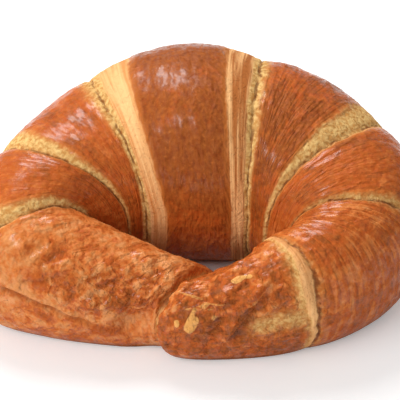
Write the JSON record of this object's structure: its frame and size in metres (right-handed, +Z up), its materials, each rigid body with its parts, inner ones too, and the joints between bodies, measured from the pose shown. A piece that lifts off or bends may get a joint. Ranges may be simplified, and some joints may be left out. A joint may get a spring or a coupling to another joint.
{
  "type": "croissant",
  "caption": "Baked croissant: a tapered roll of layered dough whose horns are curled round to the front and pressed together at the tips, round a narrow hole, resting on a flat base",
  "frame": {"origin": "middle of the bounding box of the flat base, on the surface that the croissant rests on", "axes": "+X to the right across both horns, +Y towards the thick back of the bend and away from the joined tips, +Z up"},
  "size_m": [0.149, 0.1066, 0.0656],
  "materials": {
    "crust": "glazed crust, softly glossy on the layers and matt, open crumb at the seams"
  },
  "bodies": {
    "root": {"croissant": "crust"}
  },
  "joints": []
}
